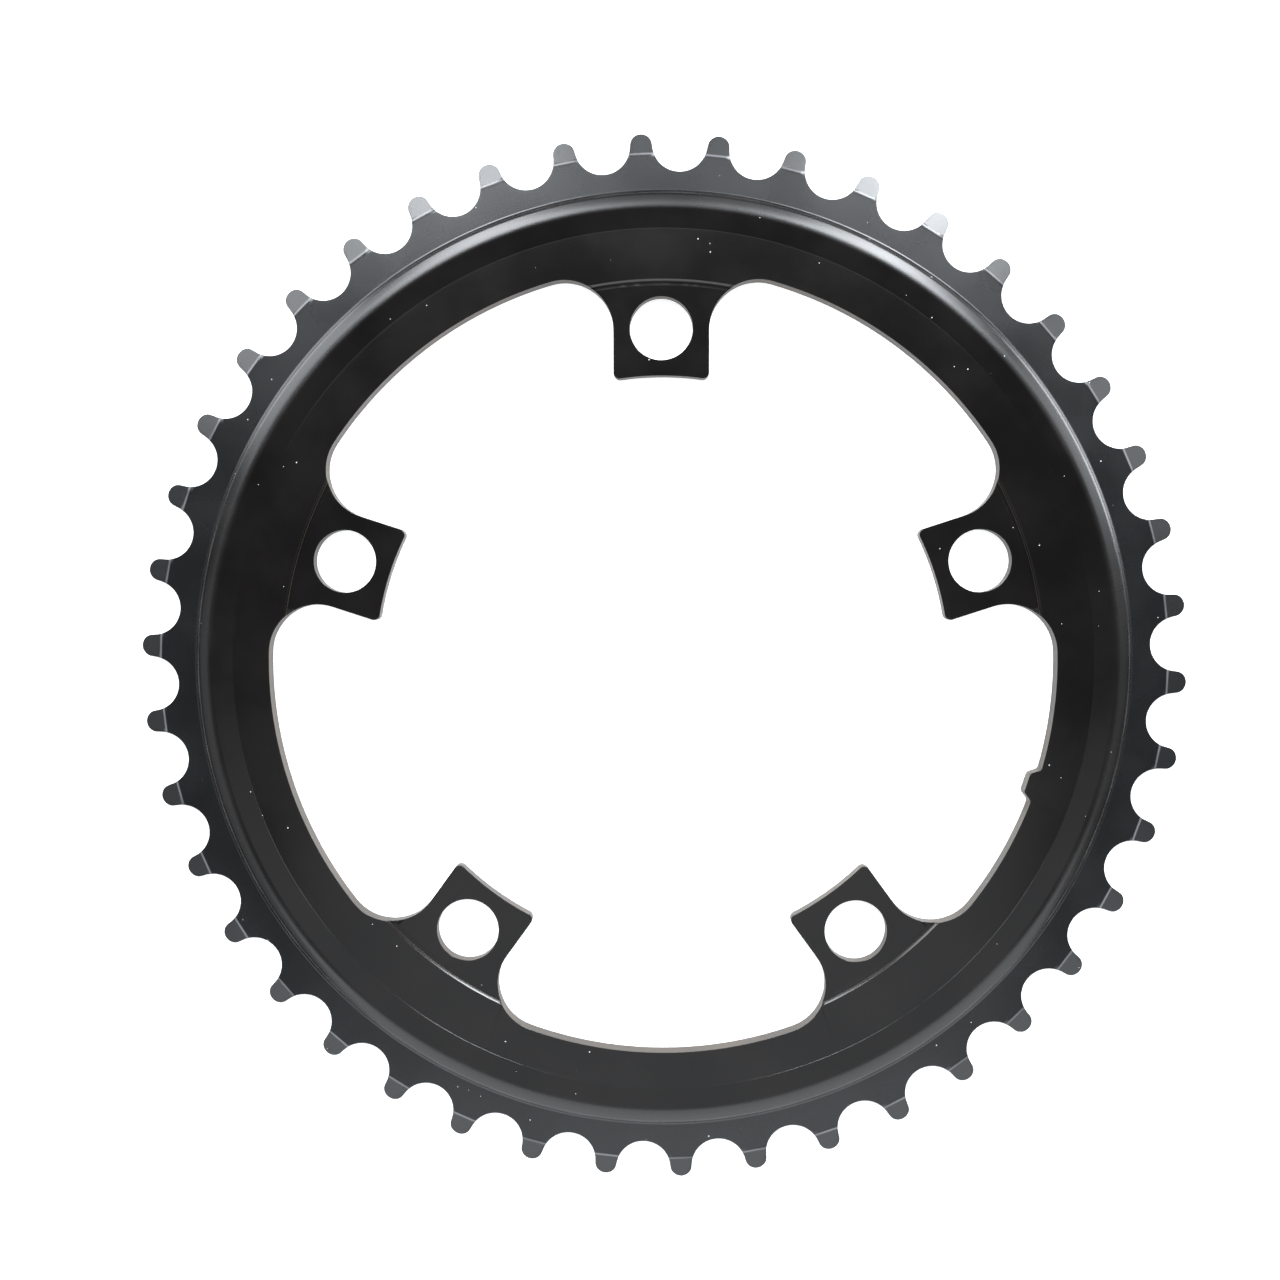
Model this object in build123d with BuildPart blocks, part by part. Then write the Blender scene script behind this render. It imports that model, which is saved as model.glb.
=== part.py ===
"""A bicycle chainring with five arms, turned and milled from one aluminium plate.

The ring lies on its flat back. The origin is where the crank axis meets the back
face, +Z points out through the front face, and one arm points along +Y.
Lengths are in millimetres and angles in degrees.
"""

import os
from math import asin, atan2, cos, degrees, radians, sin, sqrt, tan

from build123d import *

# Chain and teeth. The seats are a little wider than the rollers they carry.
tooth_count = 42
chain_pitch = 12.7
roller_seat_radius = 4.5
tooth_flank_length = 1.65
first_seat_angle = 87.95
tooth_thickness = 2.1
tooth_tip_thickness = 0.85
tooth_bevel_length = 2.6

# Turned rim. The widths follow each other inwards from the bottom of the seats.
tooth_band_width = 2.9
shoulder_angle = 45.0
shoulder_round = 2.6
shoulder_foot_chamfer = 0.3
rim_slope_width = 5.0
rim_rise = 0.4
flange_width = 6.2

# Arms. The crank spider bolts to them, in a shallow turned recess.
arm_count = 5
first_arm_angle = 90.0
bolt_circle_diameter = 110.0
bolt_hole_diameter = 10.3
arm_width = 15.7
arm_thickness = 2.5
arm_end_margin = 7.7
arm_root_fillet = 8.0
arm_end_fillet = 1.0
recess_margin = 7.9
recess_depth = 0.5
recess_wall_angle = 60.0

# Small nub in one opening, opposite an arm, that marks how the ring is fitted.
nub_angle = -18.0
nub_base_width = 5.4
nub_tip_width = 3.3
nub_height = 1.6
nub_fillet = 0.8

# Share of the slanted shoulder, above its chamfered foot, that the rounding may take up.
shoulder_round_share = 0.9

# Rollers and tooth tips take turns on the pitch circle, half a tooth apart. A straight
# flank runs smoothly from each seat into the round of the tip beside it.
tooth_angle = 360 / tooth_count
pitch_radius = chain_pitch / 2 / sin(radians(tooth_angle / 2))
seat_to_tip = 2 * pitch_radius * sin(radians(tooth_angle / 4))
tip_round = sqrt(seat_to_tip**2 - tooth_flank_length**2) - roller_seat_radius
flank_lean = degrees(asin(tooth_flank_length / seat_to_tip))
seat_sweep = 180 - tooth_angle / 2 - 2 * flank_lean
tip_sweep = 180 + tooth_angle / 2 - 2 * flank_lean
root_radius = pitch_radius - roller_seat_radius
outer_radius = pitch_radius + tip_round

# The teeth are thinned by a flat bevel on each face. Its cutter starts at full
# thickness and reaches a little past the tips, as the blank they are cut from does.
blank_margin = 0.4
blank_radius = outer_radius + blank_margin
bevel_start_radius = outer_radius - tooth_bevel_length
bevel_depth = (tooth_thickness - tooth_tip_thickness) / 2
cutter_depth = bevel_depth * (tooth_bevel_length + blank_margin) / tooth_bevel_length
cutter_width = chain_pitch / 2

# Heights above the back face.
flange_thickness = arm_thickness + recess_depth
rim_height = flange_thickness + rim_rise

# Radii of the corners of the turned section, from the rim to the recess.
shoulder_drop = rim_height - tooth_thickness
shoulder_foot_radius = root_radius - tooth_band_width
crest_radius = shoulder_foot_radius - shoulder_drop / tan(radians(shoulder_angle))
slope_start_radius = crest_radius - rim_slope_width
opening_radius = slope_start_radius - flange_width
bolt_circle_radius = bolt_circle_diameter / 2
arm_end_radius = bolt_circle_radius - arm_end_margin
arm_start_radius = arm_end_radius / 2
recess_radius = bolt_circle_radius + recess_margin
recess_lip_radius = recess_radius + recess_depth / tan(radians(recess_wall_angle))


def fitted_round(wanted, turn, room):
    """The wanted rounding of a corner, or the largest that its wall has room for."""
    return min(wanted, room / tan(radians(turn / 2)))


def polar_point(radius, angle):
    """The point at a distance and direction from the axis."""
    return Vector(radius, 0).rotate(Axis.Z, angle)


shoulder_length = shoulder_drop / sin(radians(shoulder_angle)) - shoulder_foot_chamfer
crest_turn = shoulder_angle + degrees(atan2(rim_rise, rim_slope_width))
crest_rounding = fitted_round(
    shoulder_round, crest_turn, shoulder_round_share * shoulder_length
)
foot_chamfer_reach = shoulder_foot_chamfer * cos(radians(shoulder_angle))
foot_chamfer_rise = shoulder_foot_chamfer * sin(radians(shoulder_angle))

section_corners = [
    # radius, height, rounding
    (0, 0, 0),
    (blank_radius, 0, 0),
    (blank_radius, tooth_thickness, 0),
    (shoulder_foot_radius + shoulder_foot_chamfer, tooth_thickness, 0),
    (shoulder_foot_radius - foot_chamfer_reach, tooth_thickness + foot_chamfer_rise, 0),
    (crest_radius, rim_height, crest_rounding),
    (slope_start_radius, flange_thickness, 0),
    (recess_lip_radius, flange_thickness, 0),
    (recess_radius, arm_thickness, 0),
    (0, arm_thickness, 0),
]

# One upright plane through the axis for each tooth, with its x along the tooth.
seat_angles = [first_seat_angle + index * tooth_angle for index in range(tooth_count)]
tooth_planes = [
    Plane(
        origin=(0, 0, 0),
        x_dir=polar_point(1, seat_angle + tooth_angle / 2),
        z_dir=polar_point(1, seat_angle + tooth_angle / 2 - 90),
    )
    for seat_angle in seat_angles
]

with BuildPart() as chainring:
    # Turned blank: tooth band, rounded shoulder, rim, flange and recess.
    with BuildSketch(Plane.XZ):
        with BuildLine():
            FilletPolyline(
                [(radius, height) for radius, height, _ in section_corners],
                radius=[rounding for _, _, rounding in section_corners],
                close=True,
            )
        make_face()
    revolve(axis=Axis.Z)

    # Bevels on both faces of each tooth.
    with BuildSketch(*tooth_planes):
        Polygon(
            (bevel_start_radius, 0),
            (blank_radius, 0),
            (blank_radius, cutter_depth),
            align=None,
        )
        Polygon(
            (bevel_start_radius, tooth_thickness),
            (blank_radius, tooth_thickness - cutter_depth),
            (blank_radius, tooth_thickness),
            align=None,
        )
    extrude(amount=cutter_width / 2, both=True, mode=Mode.SUBTRACT)

    # Tooth outline: a seat, a flank, a tip and a flank for each tooth, all round.
    with BuildSketch():
        with BuildLine():
            for seat_angle in seat_angles:
                tip_angle = seat_angle + tooth_angle / 2
                seat = CenterArc(
                    polar_point(pitch_radius, seat_angle),
                    roller_seat_radius,
                    start_angle=seat_angle + 180 - seat_sweep / 2,
                    arc_size=seat_sweep,
                )
                tip = CenterArc(
                    polar_point(pitch_radius, tip_angle),
                    tip_round,
                    start_angle=tip_angle - tip_sweep / 2,
                    arc_size=tip_sweep,
                )
                Line(seat @ 0, tip @ 0)
                Line(tip @ 1, (seat @ 1).rotate(Axis.Z, tooth_angle))
        make_face()
    extrude(amount=rim_height, mode=Mode.INTERSECT)

    # Opening between the arms, with the nub left standing in it.
    with BuildSketch() as opening:
        Circle(opening_radius)
        with PolarLocations(arm_start_radius, arm_count, start_angle=first_arm_angle):
            Rectangle(
                opening_radius,
                arm_width,
                align=(Align.MIN, Align.CENTER),
                mode=Mode.SUBTRACT,
            )
        arm_roots = opening.vertices().group_by(SortBy.DISTANCE)[-1]
        fillet(arm_roots, arm_root_fillet)
        Circle(arm_end_radius)
        arm_ends = opening.vertices().group_by(SortBy.DISTANCE)[0]
        fillet(arm_ends, arm_end_fillet)
        arm_corners = opening.vertices()
        with PolarLocations(0, 1, start_angle=nub_angle):
            Polygon(
                (opening_radius - nub_height, -nub_tip_width / 2),
                (opening_radius, -nub_base_width / 2),
                (opening_radius, nub_base_width / 2),
                (opening_radius - nub_height, nub_tip_width / 2),
                align=None,
                mode=Mode.SUBTRACT,
            )
        fillet(opening.vertices() - arm_corners, nub_fillet)
    extrude(amount=rim_height, mode=Mode.SUBTRACT)

    # Bolt holes.
    with PolarLocations(bolt_circle_radius, arm_count, start_angle=first_arm_angle):
        Hole(bolt_hole_diameter / 2)

chainring.part.label = "chainring"

os.makedirs("parts", exist_ok=True)
export_step(chainring.part, "parts/chainring.step")
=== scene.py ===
"""Looks of a black anodised bicycle chainring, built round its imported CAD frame.

The ring lies flat on its back face, with its axis on the Z axis and its front up.
Sizes are in metres and angles in degrees, in the frame of the CAD model.
"""

from __future__ import annotations

import logging
from dataclasses import dataclass, field
from enum import Enum
from math import acos, asin, atan2, ceil, cos, degrees, floor, hypot, pi, radians, sin, sqrt, tan

import bmesh
import bpy
from mathutils import Matrix, Vector


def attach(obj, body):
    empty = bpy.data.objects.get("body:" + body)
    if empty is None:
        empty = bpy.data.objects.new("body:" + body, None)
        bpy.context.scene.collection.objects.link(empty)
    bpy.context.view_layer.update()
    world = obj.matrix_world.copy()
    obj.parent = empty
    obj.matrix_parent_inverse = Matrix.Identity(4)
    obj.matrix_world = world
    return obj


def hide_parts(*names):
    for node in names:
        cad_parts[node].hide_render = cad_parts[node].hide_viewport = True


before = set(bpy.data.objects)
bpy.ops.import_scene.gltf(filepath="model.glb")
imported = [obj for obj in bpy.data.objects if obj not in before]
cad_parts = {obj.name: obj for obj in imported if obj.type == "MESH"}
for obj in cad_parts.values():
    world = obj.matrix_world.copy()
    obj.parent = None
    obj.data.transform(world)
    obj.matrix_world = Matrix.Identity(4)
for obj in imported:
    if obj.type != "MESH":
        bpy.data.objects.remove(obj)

log = logging.getLogger("chainring")

MM = 0.001
MERGE_DISTANCE = 0.001 * MM
Point = tuple[float, float]
Color = tuple[float, float, float, float]


class Cut(Enum):
    """What a cutter leaves of a body."""

    KEEP_INSIDE = "INTERSECT"
    TAKE_AWAY = "DIFFERENCE"


def polar(radius: float, angle: float) -> Point:
    """Find the point at a distance and direction from the axis.

    Args:
        radius: Distance from the axis.
        angle: Direction, counter-clockwise from +X.

    Returns:
        The point's x and y.
    """
    return radius * cos(radians(angle)), radius * sin(radians(angle))


def turned(point: Point, angle: float) -> Point:
    """Turn a point about the origin.

    Args:
        point: The point.
        angle: Angle to turn it by, counter-clockwise.

    Returns:
        The turned point.
    """
    c, s = cos(radians(angle)), sin(radians(angle))
    return point[0] * c - point[1] * s, point[0] * s + point[1] * c


def arc(center: Point, radius: float, start: float, end: float, step: float) -> list[Point]:
    """Divide an arc into points.

    Args:
        center: Centre of the arc.
        radius: Radius of the arc.
        start: Direction of its first point, seen from the centre.
        end: Direction of its last point. A smaller value than start runs clockwise.
        step: Largest angle between two points.

    Returns:
        The points from start to end, both included.
    """
    count = max(1, ceil(abs(end - start) / step))
    points = []
    for index in range(count + 1):
        x, y = polar(radius, start + (end - start) * index / count)
        points.append((center[0] + x, center[1] + y))
    return points


def rounded(corners: list[tuple[float, float, float]], step: float) -> list[Point]:
    """Round the inner corners of an open outline.

    Args:
        corners: Each corner's two coordinates and rounding radius.
        step: Largest angle between two points of a rounding.

    Returns:
        The outline's points.
    """
    points = [corners[0][:2]]
    for before, corner, after in zip(corners, corners[1:], corners[2:]):
        if corner[2] == 0:
            points.append(corner[:2])
            continue
        here = Vector(corner[:2])
        inward = (Vector(before[:2]) - here).normalized()
        onward = (Vector(after[:2]) - here).normalized()
        half = acos(max(-1.0, min(1.0, inward.dot(onward)))) / 2
        radius = corner[2]
        center = here + (inward + onward).normalized() * (radius / sin(half))
        first = here + inward * (radius / tan(half)) - center
        last = here + onward * (radius / tan(half)) - center
        start = degrees(atan2(first.y, first.x))
        sweep = (degrees(atan2(last.y, last.x)) - start + 180) % 360 - 180
        points += arc(tuple(center), radius, start, start + sweep, step)
    return points + [corners[-1][:2]]


@dataclass(frozen=True)
class TurnedSection:
    """Section of the rim and flange as the lathe leaves them, over the flat back."""

    tooth_foot: float
    band_thickness: float = 2.1 * MM
    tooth_thickness: float = 1.88 * MM
    shoulder_foot: float = 77.35 * MM
    foot_fillet: float = 0.55 * MM
    shoulder_brow: float = 76.8 * MM
    brow_height: float = 2.66 * MM
    brow_round: float = 2.2 * MM
    crest: float = 75.1 * MM
    crest_height: float = 3.34 * MM
    crest_round: float = 4.0 * MM
    slope_start: float = 71.1 * MM
    crease_step: float = 0.025 * MM
    flange_thickness: float = 3.0 * MM
    recess_lip: float = 62.92 * MM
    lip_round: float = 0.12 * MM
    lip_foot: float = 62.66 * MM
    lip_foot_height: float = 2.76 * MM
    recess_foot: float = 62.60 * MM
    foot_round: float = 0.03 * MM
    ledge_radius: float = 61.95 * MM
    ledge_step: float = 0.02 * MM
    arm_thickness: float = 2.5 * MM
    inner_radius: float = 40.0 * MM
    outer_radius: float = 88.0 * MM
    round_step: float = 4.0

    def outline(self) -> list[Point]:
        """Lay out the closed section.

        Returns:
            Radius and height of each point, from the bottom of the bore side round.
        """
        groove = self.arm_thickness - self.ledge_step
        upper = rounded(
            [
                (self.outer_radius, self.tooth_thickness, 0),
                (self.tooth_foot, self.tooth_thickness, 0),
                (self.shoulder_foot, self.band_thickness, self.foot_fillet),
                (self.shoulder_brow, self.brow_height, self.brow_round),
                (self.crest, self.crest_height, self.crest_round),
                (self.slope_start, self.flange_thickness + self.crease_step, self.crease_step / 3),
                (self.slope_start - self.crease_step, self.flange_thickness, self.crease_step / 3),
                (self.recess_lip, self.flange_thickness, self.lip_round),
                (self.lip_foot, self.lip_foot_height, self.foot_round),
                (self.recess_foot, groove, self.foot_round),
                (self.ledge_radius, groove, self.ledge_step / 3),
                (self.ledge_radius - self.ledge_step, self.arm_thickness, self.ledge_step / 3),
                (self.inner_radius, self.arm_thickness, 0),
            ],
            self.round_step,
        )
        return [(self.inner_radius, 0.0), (self.tooth_foot, 0.0), (self.outer_radius, 0.0)] + upper


@dataclass(frozen=True)
class ToothedEdge:
    """The row of teeth round the rim, cut for a chain of 12.7 mm pitch."""

    count: int = 42
    pitch: float = 12.7 * MM
    seat_radius: float = 4.5 * MM
    flank_length: float = 0.9 * MM
    first_seat: float = 87.95
    thickness: float = 1.88 * MM
    tip_depth: float = 0.84 * MM
    back_share: float = 0.45
    bevel_length: float = 3.7 * MM
    step_depth: float = 0.05 * MM
    step_length: float = 0.6 * MM
    step_count: int = 8
    foot_margin: float = 0.3 * MM
    outline_tolerance: float = 0.01 * MM
    snap_distance: float = 0.0001 * MM
    arc_step: float = 6.0

    @property
    def tooth_angle(self) -> float:
        """Angle from one tooth to the next."""
        return 360 / self.count

    @property
    def pitch_radius(self) -> float:
        """Radius of the circle that the chain's rollers lie on."""
        return self.pitch / 2 / sin(radians(self.tooth_angle / 2))

    @property
    def seat_to_tip(self) -> float:
        """Distance between the centres of a seat and of the tip beside it."""
        return 2 * self.pitch_radius * sin(radians(self.tooth_angle / 4))

    @property
    def tip_round(self) -> float:
        """Radius of the round at the tip of a tooth."""
        return sqrt(self.seat_to_tip**2 - self.flank_length**2) - self.seat_radius

    @property
    def tip_radius(self) -> float:
        """Distance from the axis to the end of a tooth."""
        return self.pitch_radius + self.tip_round

    @property
    def bevel_start(self) -> float:
        """Distance from the axis, along a tooth, where its bevels begin."""
        return self.tip_radius - self.bevel_length

    @property
    def foot_radius(self) -> float:
        """Radius of the circle, just inside the bevels, that the teeth start from."""
        return self.bevel_start - self.foot_margin

    @property
    def feet_end(self) -> float:
        """Radius past which a corner is on a tooth and not on the foot circle."""
        return self.foot_radius + self.outline_tolerance

    def outline(self) -> list[Point]:
        """Lay out the closed line round all the teeth.

        Returns:
            The points, counter-clockwise.
        """
        lean = degrees(asin(self.flank_length / self.seat_to_tip))
        half_seat = 90 - self.tooth_angle / 4 - lean
        half_tip = 90 + self.tooth_angle / 4 - lean
        points = []
        for index in range(self.count):
            seat = self.first_seat + index * self.tooth_angle
            tip = seat + self.tooth_angle / 2
            points += arc(
                polar(self.pitch_radius, seat),
                self.seat_radius,
                seat + 180 + half_seat,
                seat + 180 - half_seat,
                self.arc_step,
            )
            points += arc(
                polar(self.pitch_radius, tip),
                self.tip_round,
                tip - half_tip,
                tip + half_tip,
                self.arc_step,
            )
        return points

    def bevel_depth(self, distance: float) -> float:
        """Find how deep the bevel is cut into the front of a tooth.

        Args:
            distance: Distance from the axis, along the tooth.

        Returns:
            The depth. The bevel starts with a rounded step and goes on flat.
        """
        slope = (self.tip_depth - self.step_depth) / (self.bevel_length - self.step_length / 2)
        run = max(0.0, distance - self.bevel_start)
        share = min(1.0, run / self.step_length)
        step = self.step_depth * share * share * (3 - 2 * share)
        return step + slope * max(0.0, run - self.step_length / 2)

    def faces_by_tooth(self, bm: bmesh.types.BMesh) -> list[list[bmesh.types.BMFace]]:
        """Sort the faces that reach past the foot circle by the tooth they are on.

        Args:
            bm: The ring.

        Returns:
            The faces of each tooth.
        """
        teeth: list[list[bmesh.types.BMFace]] = [[] for _ in range(self.count)]
        for face in bm.faces:
            outermost = max((vert.co.xy for vert in face.verts), key=lambda spot: spot.length)
            if outermost.length > self.feet_end:
                turn = degrees(atan2(outermost.y, outermost.x)) - self.first_seat
                teeth[floor(turn / self.tooth_angle) % self.count].append(face)
        return teeth

    def bevel(self, bm: bmesh.types.BMesh) -> None:
        """Thin the teeth of a flat-faced ring towards their tips, on both faces.

        Args:
            bm: The ring, with the teeth parted from the band by a circle at their feet.
        """
        for index, faces in enumerate(self.faces_by_tooth(bm)):
            tip = radians(self.first_seat + (index + 0.5) * self.tooth_angle)
            along = Vector((cos(tip), sin(tip), 0))
            edges = list(dict.fromkeys(edge for face in faces for edge in face.edges))
            verts = list(dict.fromkeys(vert for face in faces for vert in face.verts))
            tooth = verts + edges + faces
            for step in range(self.step_count + 1):
                distance = self.bevel_start + self.step_length * step / self.step_count
                tooth = bmesh.ops.bisect_plane(
                    bm,
                    geom=tooth,
                    dist=self.snap_distance,
                    plane_co=along * distance,
                    plane_no=along,
                )["geom"]
            for vert in tooth:
                if not isinstance(vert, bmesh.types.BMVert) or vert.co.xy.length <= self.feet_end:
                    continue
                depth = self.bevel_depth(vert.co.dot(along))
                front = vert.co.z > self.thickness / 2
                vert.co.z += -depth if front else depth * self.back_share


@dataclass(frozen=True)
class ArmedOpening:
    """The opening inside the flange, with the arms and the small nub left standing."""

    radius: float = 65.0 * MM
    arm_count: int = 5
    first_arm: float = 90.0
    bolt_circle_radius: float = 55.0 * MM
    hole_radius: float = 5.15 * MM
    arm_width: float = 15.7 * MM
    arm_end_margin: float = 7.7 * MM
    root_fillet: float = 8.0 * MM
    end_fillet: float = 1.0 * MM
    nub_angle: float = -18.0
    nub_base_width: float = 5.4 * MM
    nub_tip_width: float = 3.3 * MM
    nub_height: float = 1.6 * MM
    nub_fillet: float = 0.8 * MM
    nub_foot_width: float = 9.0 * MM
    wide_step: float = 1.5
    tight_step: float = 6.0

    @property
    def arm_angles(self) -> list[float]:
        """Directions that the arms stand in."""
        return [self.first_arm + index * 360 / self.arm_count for index in range(self.arm_count)]

    def arm_outline(self, angle: float) -> list[Point]:
        """Lay out one arm, from the flange round its end and back.

        Args:
            angle: Direction that the arm stands in.

        Returns:
            The points, counter-clockwise as seen from the axis.
        """
        half = self.arm_width / 2
        end_radius = self.bolt_circle_radius - self.arm_end_margin
        across = half + self.root_fillet
        along = sqrt((self.radius - self.root_fillet) ** 2 - across**2)
        root = degrees(atan2(across, along))
        end_across = half - self.end_fillet
        end_along = sqrt((end_radius + self.end_fillet) ** 2 - end_across**2)
        end = degrees(atan2(end_across, end_along))
        points = arc((along, -across), self.root_fillet, -root, 90, self.tight_step)
        points += arc((end_along, -end_across), self.end_fillet, -90, -180 - end, self.tight_step)
        points += arc((0, 0), end_radius, -end, end, self.wide_step)[1:-1]
        points += arc((end_along, end_across), self.end_fillet, 180 + end, 90, self.tight_step)
        points += arc((along, across), self.root_fillet, -90, root, self.tight_step)
        return [turned(point, angle) for point in points]

    def nub_outline(self) -> list[Point]:
        """Lay out the nub, counter-clockwise as seen from the axis."""
        foot, base = self.nub_foot_width / 2, self.nub_base_width / 2
        tip = self.nub_tip_width / 2
        corners = [
            (sqrt(self.radius**2 - foot**2), -foot, 0),
            (sqrt(self.radius**2 - base**2), -base, self.nub_fillet),
            (self.radius - self.nub_height, -tip, self.nub_fillet),
            (self.radius - self.nub_height, tip, self.nub_fillet),
            (sqrt(self.radius**2 - base**2), base, self.nub_fillet),
            (sqrt(self.radius**2 - foot**2), foot, 0),
        ]
        return [turned(point, self.nub_angle) for point in rounded(corners, self.tight_step)]

    def outline(self) -> list[Point]:
        """Lay out the closed line round the opening.

        Returns:
            The points, counter-clockwise.
        """
        parts = [(angle, self.arm_outline(angle)) for angle in self.arm_angles]
        parts.append((self.nub_angle + 360, self.nub_outline()))
        parts.sort(key=lambda part: part[0])
        points = []
        for index, (_, part) in enumerate(parts):
            following = parts[(index + 1) % len(parts)][1]
            start = degrees(atan2(part[-1][1], part[-1][0]))
            end = degrees(atan2(following[0][1], following[0][0]))
            sweep = (end - start) % 360
            points += part
            points += arc((0, 0), self.radius, start, start + sweep, self.wide_step)[1:-1]
        return points

    def hole_centers(self) -> list[Point]:
        """Find the centres of the bolt holes."""
        return [polar(self.bolt_circle_radius, angle) for angle in self.arm_angles]


@dataclass(frozen=True)
class NodeBench:
    """Adds shader nodes to a material and wires them up."""

    tree: bpy.types.NodeTree

    def add(self, kind: str, **settings: object) -> bpy.types.Node:
        """Add a node.

        Args:
            kind: Its type.
            **settings: Values of its own fields.

        Returns:
            The node.
        """
        node = self.tree.nodes.new(kind)
        for name, value in settings.items():
            setattr(node, name, value)
        return node

    def feed(self, value: object, socket: bpy.types.NodeSocket) -> None:
        """Wire another node's output into a socket, or set the socket to a value.

        Args:
            value: An output socket or a plain value.
            socket: The input socket.
        """
        if isinstance(value, bpy.types.NodeSocket):
            self.tree.links.new(value, socket)
        else:
            socket.default_value = value

    def math(self, operation: str, *values: object) -> bpy.types.NodeSocket:
        """Do sums on numbers.

        Args:
            operation: Name of the sum.
            *values: Output sockets or numbers.

        Returns:
            The result.
        """
        node = self.add("ShaderNodeMath", operation=operation)
        for value, socket in zip(values, node.inputs):
            self.feed(value, socket)
        return node.outputs[0]

    def fade(
        self,
        value: bpy.types.NodeSocket,
        start: float,
        end: float,
        low: float = 0.0,
        high: float = 1.0,
    ) -> bpy.types.NodeSocket:
        """Run smoothly from one number to another while a value runs from start to end.

        Args:
            value: The value.
            start: Where the run begins.
            end: Where it ends.
            low: Result up to start.
            high: Result from end on.

        Returns:
            The result.
        """
        node = self.add("ShaderNodeMapRange", interpolation_type="SMOOTHSTEP")
        for number, socket in zip((value, start, end, low, high), node.inputs):
            self.feed(number, socket)
        return node.outputs["Result"]

    def noise(
        self, place: bpy.types.NodeSocket, pitch: float, detail: float, lines: bool = False
    ) -> bpy.types.NodeSocket:
        """Make soft noise.

        Args:
            place: Where each point is, or its distance from the axis for lines.
            pitch: Size of its features.
            detail: How many finer layers it has.
            lines: Whether it varies only along one number.

        Returns:
            Values round 0.5.
        """
        node = self.add("ShaderNodeTexNoise", noise_dimensions="1D" if lines else "3D")
        self.feed(place, node.inputs["W" if lines else "Vector"])
        self.feed(1 / pitch, node.inputs["Scale"])
        self.feed(detail, node.inputs["Detail"])
        return node.outputs[0]

    def blend(self, share: object, first: object, second: object) -> bpy.types.NodeSocket:
        """Mix two colours.

        Args:
            share: How much of the second one shows.
            first: First colour.
            second: Second colour.

        Returns:
            The mixed colour.
        """
        node = self.add("ShaderNodeMix", data_type="RGBA")
        colors_in = [socket for socket in node.inputs if socket.type == "RGBA"]
        for value, socket in zip((share, first, second), (node.inputs["Factor"], *colors_in)):
            self.feed(value, socket)
        return next(socket for socket in node.outputs if socket.type == "RGBA")


@dataclass(frozen=True)
class Zones:
    """Masks that tell the zones of the ring's surface apart, each from 0 to 1."""

    wall: bpy.types.NodeSocket
    shoulder: bpy.types.NodeSocket
    band: bpy.types.NodeSocket
    clouds: bpy.types.NodeSocket
    specks: bpy.types.NodeSocket
    bevel_highlight: bpy.types.NodeSocket


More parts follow.
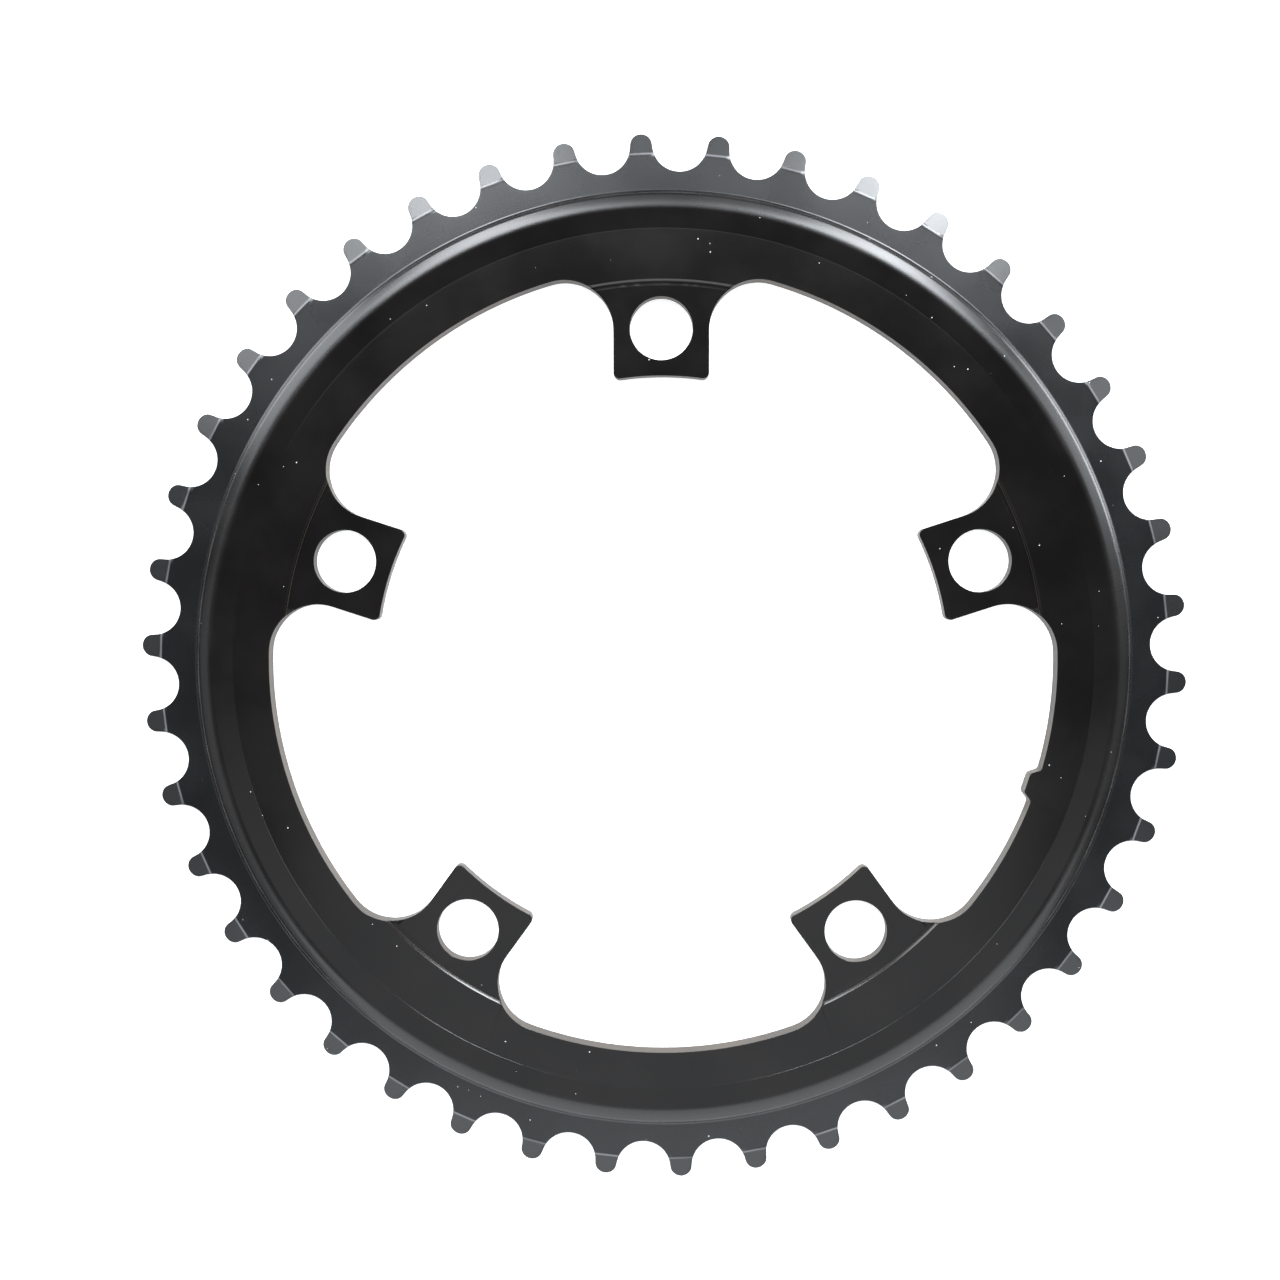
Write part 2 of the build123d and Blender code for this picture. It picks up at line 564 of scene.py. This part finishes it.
@dataclass(frozen=True)
class BlackAnodised:
    """Satin black anodising over turned and milled aluminium, with a little dust."""

    flange_color: Color = (0.0032, 0.0027, 0.0026, 1)
    band_color: Color = (0.0028, 0.0030, 0.0034, 1)
    wall_color: Color = (0.036, 0.027, 0.019, 1)
    dust_color: Color = (0.40, 0.39, 0.38, 1)
    # Painted highlight: light grey for the bright line where each tooth's bevel starts.
    bevel_highlight_color: Color = (0.20, 0.20, 0.21, 1)
    flange_roughness: float = 0.18
    rim_roughness: float = 0.27
    wall_roughness: float = 0.40
    dust_roughness: float = 0.7
    face_gloss: float = 0.5
    wall_gloss: float = 0.2
    refraction: float = 1.5
    wall_steepness: tuple[float, float] = (0.2, 0.4)
    shoulder_start: float = 74.4 * MM
    shoulder_fade: float = 0.4 * MM
    band_start: float = 77.3 * MM
    band_fade: float = 0.3 * MM
    turning_pitch: float = 0.30 * MM
    turning_depth: float = 0.0015 * MM
    turning_detail: float = 4
    pore_pitch: float = 0.25 * MM
    pore_depth: float = 0.0015 * MM
    pore_detail: float = 3
    cloud_pitch: float = 14.0 * MM
    cloud_detail: float = 4
    cloud_range: tuple[float, float] = (0.3, 0.7)
    cloud_shade: tuple[float, float] = (0.75, 1.3)
    cloud_roughness: float = 0.02
    speck_pitch: float = 2.0 * MM
    speck_share: float = 0.55
    speck_reach: float = 0.06
    # Width, strength and cloud patchiness of the painted highlight at the bevel starts.
    bevel_highlight_width: float = 0.28 * MM
    bevel_highlight_strength: float = 0.5
    bevel_highlight_range: tuple[float, float] = (0.3, 0.6)
    bevel_highlight_least: float = 0.4

    def material(self, name: str, teeth: ToothedEdge) -> bpy.types.Material:
        """Make the material.

        Args:
            name: Name of the material.
            teeth: The teeth, which get a painted highlight along the line where their bevels
                start.

        Returns:
            The material, on Object coordinates.
        """
        material = bpy.data.materials.new(name)
        material.use_nodes = True
        bench = NodeBench(material.node_tree)
        shader = material.node_tree.nodes["Principled BSDF"]
        shader.inputs["IOR"].default_value = self.refraction
        coordinates = bench.add("ShaderNodeTexCoord")
        place = coordinates.outputs["Object"]
        radius = self.distance_from_axis(bench, place)
        shoulder, band = (
            bench.fade(radius, start - reach, start + reach)
            for start, reach in (
                (self.shoulder_start, self.shoulder_fade),
                (self.band_start, self.band_fade),
            )
        )
        zones = Zones(
            wall=self.wall_mask(bench, coordinates.outputs["Normal"]),
            shoulder=shoulder,
            band=band,
            clouds=bench.noise(place, self.cloud_pitch, self.cloud_detail),
            specks=self.dust_mask(bench, place),
            # Mask of the painted highlight across each tooth where its bevel starts.
            bevel_highlight=self.bevel_highlight_mask(bench, place, radius, teeth),
        )
        gloss = bench.fade(zones.wall, 0, 1, self.face_gloss, self.wall_gloss)
        bench.feed(self.color(bench, zones), shader.inputs["Base Color"])
        bench.feed(self.roughness(bench, zones), shader.inputs["Roughness"])
        bench.feed(gloss, shader.inputs["Specular IOR Level"])
        bench.feed(self.relief(bench, zones, place, radius), shader.inputs["Normal"])
        return material

    def color(self, bench: NodeBench, zones: Zones) -> bpy.types.NodeSocket:
        """Colour the zones, with soft clouds, a painted highlight across each tooth, and dust.

        Args:
            bench: Where the nodes go.
            zones: Masks of the zones.

        Returns:
            The colour.
        """
        color = bench.blend(zones.band, self.flange_color, self.band_color)
        color = bench.blend(zones.wall, color, self.wall_color)
        shade = bench.fade(zones.clouds, *self.cloud_range, *self.cloud_shade)
        scaled = bench.add("ShaderNodeVectorMath", operation="SCALE")
        bench.feed(color, scaled.inputs[0])
        bench.feed(shade, scaled.inputs["Scale"])
        # Painted highlight: lighten a thin line across each tooth where its bevel starts, patchy
        # with the clouds.
        patches = bench.fade(zones.clouds, *self.bevel_highlight_range, self.bevel_highlight_least, 1)
        bevel_highlight = bench.math("MULTIPLY", zones.bevel_highlight, patches)
        color = bench.blend(bevel_highlight, scaled.outputs[0], self.bevel_highlight_color)
        return bench.blend(zones.specks, color, self.dust_color)

    def roughness(self, bench: NodeBench, zones: Zones) -> bpy.types.NodeSocket:
        """Set how matt each zone is.

        Args:
            bench: Where the nodes go.
            zones: Masks of the zones.

        Returns:
            The roughness.
        """
        rise = self.rim_roughness - self.flange_roughness
        rough = bench.math("MULTIPLY_ADD", zones.shoulder, rise, self.flange_roughness)
        spread = (-self.cloud_roughness, self.cloud_roughness)
        rough = bench.math("ADD", rough, bench.fade(zones.clouds, *self.cloud_range, *spread))
        for mask, target in (
            (zones.wall, self.wall_roughness),
            (zones.specks, self.dust_roughness),
        ):
            gap = bench.math("SUBTRACT", target, rough)
            rough = bench.math("MULTIPLY_ADD", gap, mask, rough)
        return rough

    def relief(
        self,
        bench: NodeBench,
        zones: Zones,
        place: bpy.types.NodeSocket,
        radius: bpy.types.NodeSocket,
    ) -> bpy.types.NodeSocket:
        """Add the fine turning lines and pores.

        Args:
            bench: Where the nodes go.
            zones: Masks of the zones.
            place: Object coordinates.
            radius: Distance from the axis.

        Returns:
            The normal.
        """
        turning = bench.noise(radius, self.turning_pitch, self.turning_detail, lines=True)
        turning = bench.math("MULTIPLY", turning, bench.fade(zones.wall, 0, 1, 1, 0))
        pores = bench.noise(place, self.pore_pitch, self.pore_detail)
        normal = None
        for height, depth in ((turning, self.turning_depth), (pores, self.pore_depth)):
            bump = bench.add("ShaderNodeBump")
            bump.inputs["Strength"].default_value = 1.0
            bump.inputs["Distance"].default_value = depth
            bench.feed(height, bump.inputs["Height"])
            if normal is not None:
                bench.feed(normal, bump.inputs["Normal"])
            normal = bump.outputs["Normal"]
        return normal

    def distance_from_axis(
        self, bench: NodeBench, place: bpy.types.NodeSocket
    ) -> bpy.types.NodeSocket:
        """Find how far each point is from the ring's axis.

        Args:
            bench: Where the nodes go.
            place: Object coordinates.

        Returns:
            The distance.
        """
        flat = bench.add("ShaderNodeVectorMath", operation="MULTIPLY")
        bench.feed(place, flat.inputs[0])
        bench.feed((1, 1, 0), flat.inputs[1])
        length = bench.add("ShaderNodeVectorMath", operation="LENGTH")
        bench.feed(flat.outputs[0], length.inputs[0])
        return length.outputs["Value"]

    def wall_mask(self, bench: NodeBench, normal: bpy.types.NodeSocket) -> bpy.types.NodeSocket:
        """Pick out the walls that were milled upright.

        Args:
            bench: Where the nodes go.
            normal: Normal in Object coordinates.

        Returns:
            1 on upright walls and 0 elsewhere.
        """
        parts = bench.add("ShaderNodeSeparateXYZ")
        bench.feed(normal, parts.inputs[0])
        lean = bench.math("ABSOLUTE", parts.outputs["Z"])
        return bench.fade(lean, *self.wall_steepness, 1, 0)

    def bevel_highlight_mask(
        self,
        bench: NodeBench,
        place: bpy.types.NodeSocket,
        radius: bpy.types.NodeSocket,
        teeth: ToothedEdge,
    ) -> bpy.types.NodeSocket:
        """Draw the painted highlight, a thin light line across every tooth where its bevel starts.

        Args:
            bench: Where the nodes go.
            place: Object coordinates.
            radius: Distance from the axis.
            teeth: The teeth.

        Returns:
            The strength of the painted highlight, 0 off the line.
        """
        parts = bench.add("ShaderNodeSeparateXYZ")
        bench.feed(place, parts.inputs[0])
        pitch = radians(teeth.tooth_angle)
        angle = bench.math("ARCTAN2", parts.outputs["Y"], parts.outputs["X"])
        angle = bench.math("SUBTRACT", angle, radians(teeth.first_seat) - 2 * pi)
        angle = bench.math("SUBTRACT", bench.math("MODULO", angle, pitch), pitch / 2)
        along = bench.math("MULTIPLY", radius, bench.math("COSINE", angle))
        middle = teeth.bevel_start + teeth.step_length / 2
        away = bench.math("ABSOLUTE", bench.math("SUBTRACT", along, middle))
        return bench.fade(away, 0, self.bevel_highlight_width, self.bevel_highlight_strength, 0)

    def dust_mask(self, bench: NodeBench, place: bpy.types.NodeSocket) -> bpy.types.NodeSocket:
        """Scatter a few specks of dust.

        Args:
            bench: Where the nodes go.
            place: Object coordinates.

        Returns:
            1 on a speck and 0 elsewhere.
        """
        cells = bench.add("ShaderNodeTexVoronoi")
        bench.feed(place, cells.inputs["Vector"])
        bench.feed(1 / self.speck_pitch, cells.inputs["Scale"])
        size = bench.add("ShaderNodeSeparateXYZ")
        bench.feed(cells.outputs["Color"], size.inputs[0])
        reach = bench.fade(size.outputs["X"], self.speck_share, 1, 0, self.speck_reach)
        return bench.math("LESS_THAN", cells.outputs["Distance"], reach)


@dataclass(frozen=True)
class PaleFloor:
    """Plain white light table."""

    color: tuple[float, float, float] = (0.86, 0.86, 0.86)
    roughness: float = 0.8
    glow: float = 0.5
    half_width: float = 4.0

    def build(self) -> bpy.types.Object:
        """Make the floor under the object.

        Returns:
            The floor.
        """
        mesh = bpy.data.meshes.new("floor")
        bm = bmesh.new()
        bmesh.ops.create_grid(bm, x_segments=1, y_segments=1, size=self.half_width)
        bm.to_mesh(mesh)
        bm.free()
        floor = bpy.data.objects.new("floor", mesh)
        bpy.context.scene.collection.objects.link(floor)
        material = bpy.data.materials.new("white_table")
        material.use_nodes = True
        shader = material.node_tree.nodes["Principled BSDF"]
        shader.inputs["Base Color"].default_value = (*self.color, 1)
        shader.inputs["Roughness"].default_value = self.roughness
        shader.inputs["Emission Color"].default_value = (1, 1, 1, 1)
        shader.inputs["Emission Strength"].default_value = self.glow
        mesh.materials.append(material)
        return floor


def mesh_object(name: str, bm: bmesh.types.BMesh) -> bpy.types.Object:
    """Turn a bmesh into an object in the scene.

    Args:
        name: Name of the object.
        bm: The shape, which is freed.

    Returns:
        The object.
    """
    mesh = bpy.data.meshes.new(name)
    bm.to_mesh(mesh)
    bm.free()
    made = bpy.data.objects.new(name, mesh)
    bpy.context.scene.collection.objects.link(made)
    return made


@dataclass
class Chainring:
    """The whole ring: a turned blank with its teeth, opening and holes cut out."""

    teeth: ToothedEdge = field(default_factory=ToothedEdge)
    opening: ArmedOpening = field(default_factory=ArmedOpening)
    finish: BlackAnodised = field(default_factory=BlackAnodised)
    spin_steps: int = 504
    cutter_bottom: float = -2.0 * MM
    cutter_top: float = 7.0 * MM
    pin_length: float = 20.0 * MM
    pin_segments: int = 72
    flat_angle: float = 0.012
    edge_break: float = 0.07 * MM
    edge_segments: int = 2
    edge_angle: float = 35.0
    flat_weight: int = 100

    def blank(self, section: TurnedSection) -> bpy.types.Object:
        """Turn the section once round the axis.

        Args:
            section: The section.

        Returns:
            The blank.
        """
        bm = bmesh.new()
        corners = [bm.verts.new((radius, 0, height)) for radius, height in section.outline()]
        edges = [bm.edges.new(pair) for pair in zip(corners, corners[1:] + corners[:1])]
        bmesh.ops.spin(
            bm,
            geom=corners + edges,
            cent=(0, 0, 0),
            axis=(0, 0, 1),
            angle=2 * pi,
            steps=self.spin_steps,
            use_merge=True,
            use_duplicate=False,
        )
        bmesh.ops.remove_doubles(bm, verts=bm.verts, dist=MERGE_DISTANCE)
        bmesh.ops.recalc_face_normals(bm, faces=bm.faces)
        return mesh_object("chainring_body", bm)

    def upright(self, outline: list[Point], name: str) -> bpy.types.Object:
        """Make a cutter that stands through the whole ring.

        Args:
            outline: Its outline.
            name: Name of the cutter.

        Returns:
            The cutter.
        """
        bm = bmesh.new()
        face = bm.faces.new([bm.verts.new((x, y, self.cutter_bottom)) for x, y in outline])
        made = bmesh.ops.extrude_face_region(bm, geom=[face], use_keep_orig=True)
        raised = [item for item in made["geom"] if isinstance(item, bmesh.types.BMVert)]
        lift = Vector((0, 0, self.cutter_top - self.cutter_bottom))
        bmesh.ops.translate(bm, verts=raised, vec=lift)
        bmesh.ops.recalc_face_normals(bm, faces=bm.faces)
        return mesh_object(name, bm)

    def pins(self) -> bpy.types.Object:
        """Make the pins that cut the bolt holes.

        Returns:
            The pins.
        """
        bm = bmesh.new()
        for x, y in self.opening.hole_centers():
            bmesh.ops.create_cone(
                bm,
                cap_ends=True,
                segments=self.pin_segments,
                radius1=self.opening.hole_radius,
                radius2=self.opening.hole_radius,
                depth=self.pin_length,
                matrix=Matrix.Translation((x, y, 0)),
            )
        return mesh_object("pins", bm)

    def cut(self, body: bpy.types.Object, cutter: bpy.types.Object, kind: Cut) -> None:
        """Cut the body with another shape, which is then deleted.

        Args:
            body: The body.
            cutter: The other shape.
            kind: What the cutter leaves of the body.
        """
        modifier = body.modifiers.new("cut", "BOOLEAN")
        modifier.operation = kind.value
        modifier.solver = "EXACT"
        modifier.object = cutter
        depsgraph = bpy.context.evaluated_depsgraph_get()
        result = bpy.data.meshes.new_from_object(body.evaluated_get(depsgraph))
        body.modifiers.clear()
        old = body.data
        body.data = result
        bpy.data.meshes.remove(old)
        bpy.data.meshes.remove(cutter.data)

    def settle(self, body: bpy.types.Object) -> None:
        """Put the corners and faces in an order that is the same at each run.

        The cuts give the same shape each time, but not always in the same order.

        Args:
            body: The ring after its cuts.
        """
        old = body.data
        order = sorted(range(len(old.vertices)), key=lambda index: tuple(old.vertices[index].co))
        rank = {corner: place for place, corner in enumerate(order)}
        faces = []
        for polygon in old.polygons:
            corners = [rank[corner] for corner in polygon.vertices]
            first = corners.index(min(corners))
            faces.append(corners[first:] + corners[:first])
        body.data = bpy.data.meshes.new(old.name)
        body.data.from_pydata([old.vertices[index].co for index in order], [], sorted(faces))
        bpy.data.meshes.remove(old)

    def bevel_teeth(self, body: bpy.types.Object) -> None:
        """Bevel the teeth, and join what is flat and shade it smooth up to the edges.

        Args:
            body: The ring with its teeth cut.
        """
        bm = bmesh.new()
        bm.from_mesh(body.data)
        bmesh.ops.remove_doubles(bm, verts=bm.verts, dist=MERGE_DISTANCE)
        self.teeth.bevel(bm)
        bmesh.ops.dissolve_limit(
            bm,
            angle_limit=radians(self.flat_angle),
            verts=bm.verts,
            edges=bm.edges,
            use_dissolve_boundaries=False,
        )
        for face in bm.faces:
            face.smooth = True
        sharp = radians(self.edge_angle)
        for edge in bm.edges:
            edge.smooth = len(edge.link_faces) == 2 and edge.calc_face_angle() < sharp
        bm.to_mesh(body.data)
        bm.free()

    def break_edges(self, body: bpy.types.Object) -> None:
        """Break the sharp edges and keep the large faces looking flat.

        Args:
            body: The finished ring.
        """
        bevel = body.modifiers.new("edge_break", "BEVEL")
        bevel.width = self.edge_break
        bevel.segments = self.edge_segments
        bevel.limit_method = "ANGLE"
        bevel.angle_limit = radians(self.edge_angle)
        bevel.use_clamp_overlap = False
        bevel.miter_outer = "MITER_ARC"
        normals = body.modifiers.new("flat_faces", "WEIGHTED_NORMAL")
        normals.keep_sharp = False
        normals.weight = self.flat_weight

    def build(self) -> bpy.types.Object:
        """Make the ring and give it its finish.

        Returns:
            The ring.
        """
        body = self.blank(TurnedSection(self.teeth.foot_radius))
        tooth_line = self.upright(self.teeth.outline(), "tooth_line")
        self.cut(body, tooth_line, Cut.KEEP_INSIDE)
        opening_line = self.upright(self.opening.outline(), "opening_line")
        self.cut(body, opening_line, Cut.TAKE_AWAY)
        self.cut(body, self.pins(), Cut.TAKE_AWAY)
        self.settle(body)
        self.bevel_teeth(body)
        self.break_edges(body)
        body.data.materials.clear()
        body.data.materials.append(self.finish.material("black_anodised", self.teeth))
        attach(body, "root")
        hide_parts("chainring")
        return body


@dataclass(frozen=True)
class Softbox:
    """A soft lamp on a sphere round the object.

    Azimuth is the direction it stands in, tilt its angle from straight up.
    """

    name: str
    azimuth: float
    tilt: float
    width: float
    height: float
    radiance: float
    distance: float = 0.9
    color: tuple[float, float, float] = (0.92, 0.96, 1.0)

    def build(self) -> bpy.types.Object:
        """Make the lamp, aimed at the middle of the object.

        Returns:
            The lamp.
        """
        lamp = bpy.data.lights.new(self.name, "AREA")
        lamp.shape = "RECTANGLE"
        lamp.size = 2 * self.distance * tan(radians(self.width / 2))
        lamp.size_y = 2 * self.distance * tan(radians(self.height / 2))
        lamp.energy = self.radiance * pi * lamp.size * lamp.size_y
        lamp.color = self.color
        made = bpy.data.objects.new(self.name, lamp)
        away = Vector(
            (
                sin(radians(self.tilt)) * cos(radians(self.azimuth)),
                sin(radians(self.tilt)) * sin(radians(self.azimuth)),
                cos(radians(self.tilt)),
            )
        )
        across = Vector((-sin(radians(self.azimuth)), cos(radians(self.azimuth)), 0))
        up = away.cross(across)
        made.matrix_world = Matrix.Translation(away * self.distance) @ Matrix(
            (across, up, away)
        ).transposed().to_4x4()
        made.visible_camera = False
        bpy.context.scene.collection.objects.link(made)
        return made


@dataclass(frozen=True)
class Studio:
    """Soft lamps behind and in front of the object, over a white table."""

    lamps: tuple[Softbox, ...] = (
        Softbox("lamp_back_right", 60, 49, 12, 36, 34),
        Softbox("lamp_back_left", 115, 47, 14, 38, 21),
        Softbox("lamp_back_middle", 91, 42, 24, 46, 0.9),
        Softbox("lamp_right", 26, 56, 18, 36, 4.5),
        Softbox("lamp_low_right", 26, 82, 26, 14, 18),
        Softbox("lamp_left", 143, 56, 20, 36, 7),
        Softbox("lamp_low_left", 143, 82, 22, 14, 10),
        Softbox("lamp_side_left", 198, 53, 42, 30, 0.9),
        Softbox("lamp_side_right", 354, 52, 36, 28, 0.5),
        Softbox("lamp_front", 275, 62, 88, 66, 2.5),
        Softbox("lamp_front_top", 270, 17, 34, 22, 0.8),
    )
    world_color: tuple[float, float, float] = (0.06, 0.06, 0.06)
    backdrop: tuple[float, float, float] = (0.95, 0.95, 0.95)

    def build(self) -> None:
        """Make the floor, the lamps and the surroundings."""
        floor = PaleFloor().build()
        log.info("stage: %s", floor.name)
        for lamp in self.lamps:
            log.info("lamp: %s", lamp.build().name)
        world = bpy.data.worlds.new("studio")
        world.use_nodes = True
        nodes, links = world.node_tree.nodes, world.node_tree.links
        dim = nodes["Background"]
        dim.inputs["Color"].default_value = (*self.world_color, 1)
        pale = nodes.new("ShaderNodeBackground")
        pale.inputs["Color"].default_value = (*self.backdrop, 1)
        path = nodes.new("ShaderNodeLightPath")
        mix = nodes.new("ShaderNodeMixShader")
        links.new(path.outputs["Is Camera Ray"], mix.inputs["Fac"])
        links.new(dim.outputs["Background"], mix.inputs[1])
        links.new(pale.outputs["Background"], mix.inputs[2])
        links.new(mix.outputs["Shader"], nodes["World Output"].inputs["Surface"])
        bpy.context.scene.world = world
        bpy.context.scene.view_settings.view_transform = "Standard"


@dataclass(frozen=True)
class PhotoCamera:
    """Camera over the ring, a little to one side of its axis, as the picture was taken."""

    image_width: float = 1280.0
    focal_pixels: float = 1500.0
    sensor_width: float = 36.0
    turn_x: float = 2.75
    turn_y: float = -1.04
    shift_x: float = 3.52 * MM
    shift_y: float = -3.97 * MM
    distance: float = 247.8 * MM
    target_height: float = 2.5 * MM

    def build(self) -> bpy.types.Object:
        """Make the camera and look through it.

        Returns:
            The camera.
        """
        data = bpy.data.cameras.new("photo_camera")
        data.sensor_width = self.sensor_width
        data.lens = self.focal_pixels / self.image_width * self.sensor_width
        camera = bpy.data.objects.new("photo_camera", data)
        bpy.context.scene.collection.objects.link(camera)
        turn = Matrix.Rotation(radians(self.turn_y), 4, "Y") @ Matrix.Rotation(
            radians(self.turn_x), 4, "X"
        )
        to_camera = (
            Matrix.Translation((self.shift_x, self.shift_y, -self.distance))
            @ turn
            @ Matrix.Translation((0, 0, -self.target_height))
        )
        camera.matrix_world = to_camera.inverted()
        bpy.context.scene.camera = camera
        return camera


def main() -> None:
    """Build the studio and the ring."""
    logging.basicConfig(level=logging.INFO, format="%(message)s")
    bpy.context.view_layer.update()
    log.info("camera: %s", PhotoCamera().build().name)
    Studio().build()
    ring = Chainring().build()
    log.info("piece: %s, %d vertices", ring.name, len(ring.data.vertices))


if __name__ == "__main__":
    main()
